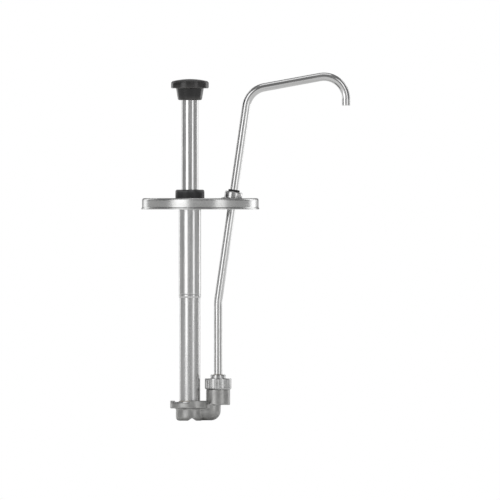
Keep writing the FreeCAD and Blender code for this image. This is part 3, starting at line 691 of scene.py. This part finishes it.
ball_finish = ground_steel()
for name in ("inlet_ball", "discharge_ball"):
    assign(frame["nodes"][name], ball_finish)
assign(frame["nodes"]["ball_retainer"], plain_turned)

# ---- Discharge fitting and hand nut ---------------------------------------------------------------
# The fitting is turned from bar, brazed to the tube's foot, and holds the discharge ball under a cross
# pin. The hand nut, with grip flutes, draws it down onto the casting's outlet.

FLUTES, FLUTE_DEPTH, FLUTE_WIDTH, TUBE_WALL = 24, 0.55 * MM, 0.9 * MM, 0.9 * MM
OUTLET_NECK, OUTLET_BORE, NUT_WALL, NECK_RADIUS = 12.6 * MM, 10.6 * MM, 2.2 * MM, 8.75 * MM
THREAD_GAP, NECK_GAP, BORE_GAP, NUT_CHAMFER = 0.05 * MM, 0.2 * MM, 0.1 * MM, 1.2 * MM
SEAT_HOLE, SEAT_FLOOR, CHAMBER, SHOULDER = 3.6 * MM, 4.2 * MM, 6.6 * MM, 12 * MM
ORING_FLOOR, ORING_HALF, SHOULDER_RISE = 9.1 * MM, 1.2 * MM, 4.3 * MM
DOME_FOOT, DOME_TOP, BRAZE = 1.1 * MM, 3.1 * MM, 0.9 * MM  # the chamber's roof above the pin, and the bead

nut_low, nut_high = span("coupling_nut")
fitting_low, fitting_high = span("discharge_fitting")
outlet_x = (fitting_low[0] + fitting_high[0]) / 2
nut_radius = (nut_high[1] - nut_low[1]) / 2
nut_base, nut_top = nut_low[2], nut_high[2]


def fluted(r, z, a):
    """Grip flutes: hollows as deep as depth x (1 - (distance / width)^2), faded at both ends."""
    pitch = FULL_TURN / FLUTES
    off = np.abs((a + pitch / 2) % pitch - pitch / 2) * nut_radius
    ends = np.clip(np.minimum(z - nut_base - 1.4 * MM, nut_top - 1.3 * MM - z) / (0.5 * MM), 0, 1)
    hollow = FLUTE_DEPTH * np.clip(1 - (off / FLUTE_WIDTH) ** 2, 0, 1) * ends
    return np.where(r > nut_radius - 0.4 * MM, r - hollow, r), z


nut = turned(
    "fluted_hand_nut",
    [
        (OUTLET_NECK + THREAD_GAP, nut_base),
        (nut_radius - NUT_CHAMFER, nut_base, 0.3 * MM),
        (nut_radius, nut_base + NUT_CHAMFER, 0.3 * MM),
        (nut_radius, nut_top, 0.9 * MM),
        (NECK_RADIUS + NECK_GAP, nut_top, 0.3 * MM),
        (NECK_RADIUS + NECK_GAP, nut_top - NUT_WALL),
        (OUTLET_NECK + THREAD_GAP, nut_top - NUT_WALL),
    ],
    upright(outlet_x),
    turns=480,
    relief=fluted,
    longest=0.5 * MM,
)
nut_finish = turned_steel("nut_steel", Shader.on_lathe, 0.97)
assign(nut, nut_finish)
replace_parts(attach(nut, "pump_frame"), "coupling_nut")

pin_z = sum(span("ball_stop_pin"))[2] / 2
oring_z = sum(span("fitting_oring"))[2] / 2
socket_floor = span("discharge_tube")[0][2]
tube_bore = TUBE_RADIUS - TUBE_WALL
plug_radius = OUTLET_BORE - BORE_GAP
fitting = turned(
    "ball_fitting",
    [
        (SEAT_HOLE, fitting_low[2]),
        (plug_radius, fitting_low[2], 0.5 * MM),
        (plug_radius, oring_z - ORING_HALF),
        (ORING_FLOOR, oring_z - ORING_HALF),
        (ORING_FLOOR, oring_z + ORING_HALF),
        (plug_radius, oring_z + ORING_HALF),
        (plug_radius, oring_z + SHOULDER_RISE),
        (SHOULDER, oring_z + SHOULDER_RISE),
        (SHOULDER, nut_top - NUT_WALL),
        (NECK_RADIUS, nut_top - NUT_WALL),
        (NECK_RADIUS, fitting_high[2], 1.2 * MM),
        (TUBE_RADIUS, fitting_high[2], 0.1 * MM),
        (TUBE_RADIUS, socket_floor, 0.05 * MM),
        (tube_bore, socket_floor, 0.1 * MM),
        (tube_bore, pin_z + DOME_TOP, 0.3 * MM),
        (CHAMBER, pin_z + DOME_FOOT, 0.5 * MM),
        (CHAMBER, fitting_low[2] + SEAT_FLOOR, 0.2 * MM),
        (SEAT_HOLE, fitting_low[2] + SEAT_FLOOR, 0.1 * MM),
    ],
    upright(outlet_x),
    turns=128,
)
assign(fitting, nut_finish)
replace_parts(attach(fitting, "pump_frame"), "discharge_fitting")
assign(frame["nodes"]["ball_stop_pin"], plain_turned)
assign(frame["nodes"]["fitting_oring"], rubber_finish)

braze = turned(
    "tube_braze",
    [
        (TUBE_RADIUS, fitting_high[2]),
        (TUBE_RADIUS + BRAZE, fitting_high[2], 0.1 * MM),
        (TUBE_RADIUS + 0.3 * BRAZE, fitting_high[2] + 0.3 * BRAZE, 0.5 * MM),
        (TUBE_RADIUS, fitting_high[2] + BRAZE, 0.05 * MM),
    ],
    upright(outlet_x),
    turns=96,
)
assign(braze, weld_finish)
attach(braze, "pump_frame")

# ---- Discharge tube -------------------------------------------------------------------------------
# One length of 9.5 mm stainless tube, bent on a mandrel: straight up from the fitting, leaning through
# the lid, along the arm and down to the mouth, whose rims are rounded. Polished along its length.

LEAN_START = 94 * MM  # the first bend's corner, above the tube's foot
ARM_RISE, CORNER_HEIGHT = radians(10.4), 337.2 * MM
LEAN_BEND, ARM_BEND = 60 * MM, 25.4 * MM
PATH_STEP = 0.05 * MM

tip = next(m for m in frame["record"]["mounts"] if m["name"] == "spout_tip")
mouth_x = tip["pos_m"][0]
mouth_z = tip["pos_m"][2] - tip["dims"]["length_mm"] * MM / 2
foot = np.array([outlet_x, socket_floor])
lean_corner = foot + (0, LEAN_START)
arm_corner = foot + ((CORNER_HEIGHT - LEAN_START) * tan(LEAN), CORNER_HEIGHT)
drop_corner = arm_corner + (mouth_x - arm_corner[0]) * np.array([1, tan(ARM_RISE)])
mouth = np.array([mouth_x, mouth_z])


def bent(corners, bends):
    """Length and heading along a bent tube: steady on each run, and turning evenly round each bend.

    A bend's arc starts and ends bend x tan(turn / 2) from its corner and is bend x turn long.
    """
    runs = np.diff(corners, axis=0)
    headings = np.arctan2(runs[:, 0], runs[:, 1])
    turns = np.diff(headings)
    trims = np.concatenate([[0], bends * np.tan(turns / 2), [0]])
    straights = np.hypot(*runs.T) - trims[:-1] - trims[1:]
    lengths = np.zeros(2 * len(runs) - 1)
    lengths[0::2], lengths[1::2] = straights, bends * turns
    return np.concatenate([[0], np.cumsum(lengths)]), np.repeat(headings, 2)


stations, headings = bent(
    np.array([foot, lean_corner, arm_corner, drop_corner, mouth]), np.array([LEAN_BEND, ARM_BEND, ARM_BEND])
)
walk = np.arange(0, stations[-1] + PATH_STEP, PATH_STEP)
heading = np.interp(walk + PATH_STEP / 2, stations, headings)
steps = np.stack([np.sin(heading), np.cos(heading)], 1) * PATH_STEP
line = foot + np.concatenate([[[0, 0]], np.cumsum(steps, 0)[:-1]])


def along_tube(lathe):
    """Carries a straight lathe part along the tube's centre line, which stays in the XZ plane."""
    x, y, s = lathe.T
    turn = np.interp(s, stations, headings)
    across = np.stack([np.cos(turn), 0 * s, -np.sin(turn)], 1)
    centre = np.stack([np.interp(s, walk, line[:, 0]), y, np.interp(s, walk, line[:, 1])], 1)
    return centre + x[:, None] * across


tube = turned(
    "bent_discharge_tube",
    [
        (tube_bore, 0.0),
        (TUBE_RADIUS, 0.0),
        (TUBE_RADIUS, stations[-1], 0.3 * MM),
        (tube_bore, stations[-1], 0.3 * MM),
    ],
    along_tube,
    turns=64,
    longest=1.6 * MM,
)
assign(tube, tube_steel("polished_tube_steel", 0.12, 1.02))
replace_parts(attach(tube, "pump_frame"), "discharge_tube")

# ---- Return spring --------------------------------------------------------------------------------
# Bright stainless wire wound on a mandrel, with its end turns closed up and ground flat. It stands on the
# ball retainer and lifts the piston. The real spring shortens with the plunger's stroke; this one is built at
# its full length.

WIRE, COIL_RADIUS, COILS, CLOSED = 1.2 * MM, 8.2 * MM, 32.0, 1.25

spring_low, spring_high = span("return_spring")
base, crown = spring_low[2], spring_high[2]
coil_knots = np.array([0, CLOSED, COILS - CLOSED, COILS])
lift_knots = np.array([base, base + CLOSED * WIRE, crown - CLOSED * WIRE, crown])


def coiled(lathe):
    """Winds a straight rod into a helix: the height goes up a wire's width a turn in the closed ends."""
    x, y, s = lathe.T
    turn = s / (FULL_TURN * COIL_RADIUS)
    height = np.interp(turn, coil_knots, lift_knots)
    slope = np.gradient(lift_knots, coil_knots).max() / (FULL_TURN * COIL_RADIUS)
    angle = turn * FULL_TURN
    radius = COIL_RADIUS + x
    z = np.clip(height - y * cos(asin(slope)), base, crown)
    return np.stack([radius * np.cos(angle), radius * np.sin(angle), z], 1)


wire_length = COILS * FULL_TURN * COIL_RADIUS
spring = turned(
    "coil_spring",
    [(0, 0.0), (WIRE / 2, 0.0, 0.1 * MM), (WIRE / 2, wire_length, 0.1 * MM), (0, wire_length)],
    coiled,
    turns=16,
    longest=1.3 * MM,
)
assign(spring, tube_steel("spring_wire", 0.2, 0.9))
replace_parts(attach(spring, "pump_frame"), "return_spring")
stroke = next(j for j in frame["joints"] if j["name"] == "plunger_stroke")["range_m"][1]
1 - stroke / (crown - base)
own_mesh(spring)

# ---- Piston ---------------------------------------------------------------------------------------
# A cup seal between a washer and a spreader, clamped on the plunger's stud by a nut. All of it works
# inside the cylinder, in clear silicone, natural polyethylene and turned steel.


def moulded(name, deep, light, rough):
    """Plain moulded plastic or silicone: a slight mottle, and a skin as fine as its mould."""
    shader = Shader(name, ior=1.46)
    place = shader.in_place()
    mottle = shader.noise(place, (120.0, 120.0, 120.0), 4.0)
    skin = shader.noise(place, (1800.0, 1800.0, 1800.0), 2.0)
    return shader.feed(
        base_color=shader.mix(mottle.above(0.3, 0.7), deep, light),
        roughness=rough + mottle * 0.1,
        normal=shader.bump(skin, 6e-6),
    )


natural_plastic = moulded("natural_polyethylene", (0.72, 0.72, 0.68), (0.82, 0.82, 0.79), 0.38)
for name in ("piston_plug", "seal_spreader", "piston_nut", "plunger_top_plug"):
    assign(frame["nodes"][name], plain_turned)
for name in ("piston_washer", "plunger_wiper"):
    assign(frame["nodes"][name], natural_plastic)
silicone = moulded("clear_silicone", (0.60, 0.58, 0.52), (0.74, 0.72, 0.66), 0.3)
assign(frame["nodes"]["piston_seal"], silicone)

# ---- Plunger --------------------------------------------------------------------------------------
# 19 mm stainless tube, polished brighter than the cylinder because the wiper slides on it, with a plug
# welded in at each end.

PLUNGER_WALL = 1.0 * MM

plunger_low, plunger_high = span("plunger_tube")
plunger_radius = (plunger_high[0] - plunger_low[0]) / 2
plunger = turned(
    "polished_plunger",
    [
        (plunger_radius - PLUNGER_WALL, plunger_low[2]),
        (plunger_radius, plunger_low[2]),
        (plunger_radius, plunger_high[2]),
        (plunger_radius - PLUNGER_WALL, plunger_high[2]),
    ],
    turns=128,
)
assign(plunger, tube_steel("plunger_steel", 0.1, 1.03))
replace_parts(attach(plunger, "plunger"), "plunger_tube")

# ---- Locking collar -------------------------------------------------------------------------------
# Moulded in black acetal, with a rounded crown. Two teeth inside it turn under the cylinder head's rim,
# and the wiper sits under its ceiling.

COLLAR_BORE, COLLAR_INSIDE, TOOTH_DEPTH, TOOTH_HALF = 9.8 * MM, 15.3 * MM, 1.1 * MM, radians(14)
COLLAR_CEILING, TOOTH_LOW, TOOTH_HIGH = 7.4 * MM, 0.6 * MM, 4.2 * MM  # above the collar's lower edge
TOOTH_RAMP, WALL_MARGIN = radians(1.2), 0.02 * MM


def acetal():
    """Satin black acetal: spark-eroded skin, dusty bloom, and edges rubbed a little paler and shinier."""
    shader = Shader("black_acetal", ior=1.48)
    place = shader.on_lathe()
    skin = shader.noise(place, (2400.0, 2400.0, 2400.0), 2.0)
    bloom = shader.noise(place, (150.0, 150.0, 150.0), 5.0)
    worn = shader.edge() * bloom.above(0.35, 0.65)
    colour = bloom.above(0.4, 0.85) * 0.35 + worn * 0.65
    return shader.feed(
        base_color=shader.mix(colour, (0.016, 0.016, 0.017), (0.075, 0.075, 0.078)),
        roughness=0.42 + bloom * 0.12 - worn * 0.12,
        normal=shader.bump(skin, 1.6e-5),
    )


collar_low, collar_high = span("locking_collar")
collar_radius = (collar_high[0] - collar_low[0]) / 2
collar_base, collar_top = collar_low[2], collar_high[2]


def toothed(r, z, a):
    """Inside the collar, the wall steps inwards to make two teeth, one towards +X and one towards -X."""
    off = np.abs((a + pi / 2) % pi - pi / 2)
    width = np.clip((TOOTH_HALF - off) / TOOTH_RAMP, 0, 1)
    height = (z > collar_base + TOOTH_LOW - 1e-6) & (z < collar_base + TOOTH_HIGH + 1e-6)
    inside = np.abs(r - COLLAR_INSIDE) < WALL_MARGIN
    return np.where(inside & height, r - TOOTH_DEPTH * width, r), z


collar = turned(
    "quarter_turn_collar",
    [
        (COLLAR_BORE, collar_base + COLLAR_CEILING, 0.15 * MM),
        (COLLAR_INSIDE, collar_base + COLLAR_CEILING, 0.3 * MM),
        (COLLAR_INSIDE, collar_base, 0.2 * MM),
        (collar_radius, collar_base, 0.3 * MM),
        (collar_radius, collar_top, 2.4 * MM),
        (COLLAR_BORE, collar_top, 0.5 * MM),
    ],
    turns=240,
    relief=toothed,
    longest=0.4 * MM,
)
assign(collar, acetal())
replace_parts(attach(collar, "collar"), "locking_collar")

# ---- Knob -----------------------------------------------------------------------------------------
# Compression-moulded in black phenolic: a broad rim over a tapered skirt, round a brass insert. A domed
# cap is snapped into its top. Polished by hands on the crown and rubbed paler along the edges.

KNOB_RIM, SKIRT_TOP, SKIRT_FOOT, SOCKET_DEPTH = 7.2 * MM, 15.9 * MM, 13.7 * MM, 10.6 * MM
INSERT_RADIUS, INSERT_LENGTH, KNOB_GAP = 5.0 * MM, 8 * MM, 0.1 * MM
CAP_RADIUS, CAP_SEAT, CAP_EDGE, CAP_GAP, CAP_CORNER = 20.6 * MM, 2.0 * MM, 0.9 * MM, 0.05 * MM, 0.45 * MM
LINE_HEIGHT, LINE_HALF, LINE_FILLET = 0.07 * MM, 0.12 * MM, 0.03 * MM  # the mould's fine parting line


def phenolic(name, gloss):
    """Glossy black phenolic: faint swirls in the moulding, fine wiping scratches, and worn edges."""
    shader = Shader(name, ior=1.5)
    place = shader.on_lathe()
    swirl = shader.noise(place, (70.0, 70.0, 110.0), 5.0, 0.6)
    hair = shader.noise(place, (1500.0, 160.0, 400.0), 1.0)
    scratch = 1.0 - ((hair - 0.5) ** 2.0 * 4000.0).above(0.0, 1.0)
    worn = shader.edge() * swirl.above(0.3, 0.6)
    return shader.feed(
        base_color=shader.mix(swirl * 0.15 + worn * 0.85, (0.006, 0.006, 0.0065), (0.05, 0.048, 0.047)),
        roughness=gloss + swirl * 0.06 + scratch * 0.08 + worn * 0.12,
        normal=shader.bump(swirl * 0.4 - scratch, 4e-6),
    )


def brass():
    shader = Shader("turned_brass", metallic=1.0)
    tarnish = shader.noise(shader.in_place(), (260.0, 260.0, 260.0), 5.0)
    return shader.feed(
        base_color=shader.mix(tarnish.above(0.3, 0.7), (0.74, 0.55, 0.25), (0.52, 0.36, 0.15)),
        roughness=0.22 + tarnish * 0.2,
    )


knob_low, knob_high = span("knob")
knob_radius = (knob_high[0] - knob_low[0]) / 2
knob_base, knob_top = knob_low[2], knob_high[2]
socket_top = knob_base + SOCKET_DEPTH
parting = knob_top - 0.6 * KNOB_RIM

knob = turned(
    "phenolic_knob",
    [
        (plunger_radius + KNOB_GAP, knob_base, 0.3 * MM),
        (SKIRT_FOOT, knob_base, 2.2 * MM),
        (SKIRT_TOP, knob_top - KNOB_RIM, 0.8 * MM),
        (knob_radius, knob_top - KNOB_RIM, 1.2 * MM),
        (knob_radius, parting - LINE_HALF, LINE_FILLET),
        (knob_radius + LINE_HEIGHT, parting, LINE_FILLET),
        (knob_radius, parting + LINE_HALF, LINE_FILLET),
        (knob_radius, knob_top, 0.8 * MM),
        (CAP_RADIUS + CAP_GAP, knob_top, 0.15 * MM),
        (CAP_RADIUS + CAP_GAP, knob_top - CAP_SEAT, 0.05 * MM),
        (0, knob_top - CAP_SEAT),
        (0, socket_top + INSERT_LENGTH),
        (INSERT_RADIUS, socket_top + INSERT_LENGTH),
        (INSERT_RADIUS, socket_top, 0.1 * MM),
        (plunger_radius + KNOB_GAP, socket_top, 0.1 * MM),
    ],
    turns=200,
    longest=4 * MM,
)
assign(knob, phenolic("black_phenolic", 0.16))
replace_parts(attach(knob, "plunger"), "knob")
assign(frame["nodes"]["knob_insert"], brass())

cap_low, cap_high = span("knob_cap")


def domed(r, z, a):
    """The crown is a shallow dome: its height falls as the square of the radius, to the cap's edge."""
    rise = cap_high[2] - knob_top - CAP_EDGE
    top = z > knob_top + CAP_EDGE - CAP_CORNER
    return r, np.where(top, z + rise * (1 - (r / CAP_RADIUS) ** 2), z)


cap = turned(
    "domed_cap",
    [
        (0, cap_low[2]),
        (CAP_RADIUS, cap_low[2]),
        (CAP_RADIUS, knob_top + CAP_EDGE, CAP_CORNER),
        (0, knob_top + CAP_EDGE),
    ],
    turns=200,
    relief=domed,
    longest=1 * MM,
)
assign(cap, phenolic("polished_phenolic", 0.09))
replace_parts(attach(cap, "plunger"), "knob_cap")

# ---- Stage ----------------------------------------------------------------------------------------
# A pale floor just under the pump's foot, a pale surround, and soft lights on all sides. The surround
# alone lights the floor, so that it stays even right up to the lights.

FLOOR_SIZE, FLOOR_GAP = 40.0, 0.5 * MM
VIEW_CENTRE, VIEW_WIDTH, VIEW_DISTANCE = (0.0691, -0.0586), 0.575, 1.5


def matt(name, colour):
    shader = Shader(name, roughness=1.0, specular_ior_level=0.0)
    cloud = shader.noise(shader.in_place(), (3.0, 3.0, 3.0), 2.0)
    return shader.feed(base_color=shader.mix(cloud, colour, tuple(0.97 * c for c in colour)))


corner = FLOOR_SIZE / 2
floor_mesh = bpy.data.meshes.new("floor")
floor_z = cad_low[2] - FLOOR_GAP
square = [(-corner, -corner), (corner, -corner), (corner, corner), (-corner, corner)]
floor_mesh.from_pydata([(x, y, floor_z) for x, y in square], [], [(0, 1, 2, 3)])
floor = bpy.data.objects.new("floor", floor_mesh)
bpy.context.scene.collection.objects.link(floor)
assign(floor, matt("pale_floor", (0.80, 0.80, 0.795)))
all_but_floor = bpy.data.collections.new("all_but_floor")
all_but_floor.objects.link(floor)
all_but_floor.collection_objects[0].light_linking.link_state = "EXCLUDE"


def softbox(azimuth, elevation, distance, size, radiance):
    """A rectangular area light on a sphere round the pump, facing it. Its power is radiance x pi x area."""
    light = bpy.data.lights.new("softbox", "AREA")
    light.shape, light.size, light.size_y = "RECTANGLE", *size
    light.energy = radiance * pi * size[0] * size[1]
    lamp = bpy.data.objects.new("softbox", light)
    out = np.array([sin(azimuth) * cos(elevation), -cos(azimuth) * cos(elevation), sin(elevation)])
    lamp.location = tuple(np.array([VIEW_CENTRE[0], 0.0, VIEW_CENTRE[1]]) + distance * out)
    lamp.rotation_euler = (pi / 2 - elevation, 0.0, azimuth)
    lamp.visible_camera = False
    lamp.light_linking.receiver_collection = all_but_floor
    bpy.context.scene.collection.objects.link(lamp)


for turn, width, radiance in ((-42, 0.8, 1.5), (38, 0.5, 1.2), (130, 0.7, 1.4), (222, 0.5, 1.2)):
    softbox(radians(turn), radians(16), 1.5, (width, 1.5), radiance)
softbox(0.0, radians(90), 1.6, (1.0, 1.0), 0.8)

# The surround is white to the camera, a little less to matt surfaces, and grey in reflections, so that
# steel has something to show beside the lights.
TO_CAMERA, TO_MATT, IN_METAL = 1.0, 0.88, 0.2
world = bpy.data.worlds.new("surround")
bpy.context.scene.world = world
world.use_nodes = True
sky = Graph(world.node_tree)
to_camera = sky.node("ShaderNodeLightPath", {}, {}, "Is Camera Ray")
in_metal = sky.node("ShaderNodeLightPath", {}, {}, "Is Glossy Ray")
level = TO_MATT + to_camera * (TO_CAMERA - TO_MATT) + in_metal * (IN_METAL - TO_MATT)
background = sky.tree.nodes["Background"]
background.inputs["Color"].default_value = (1.0, 1.0, 1.0, 1.0)
sky.tree.links.new(level.link, background.inputs["Strength"])
bpy.context.scene.view_settings.view_transform = "Standard"

camera = bpy.data.objects.new("camera", bpy.data.cameras.new("camera"))
camera.data.type, camera.data.ortho_scale = "ORTHO", VIEW_WIDTH
camera.location = (VIEW_CENTRE[0], -VIEW_DISTANCE, VIEW_CENTRE[1])
camera.rotation_euler = (pi / 2, 0.0, 0.0)
bpy.context.scene.collection.objects.link(camera)
bpy.context.scene.camera = camera
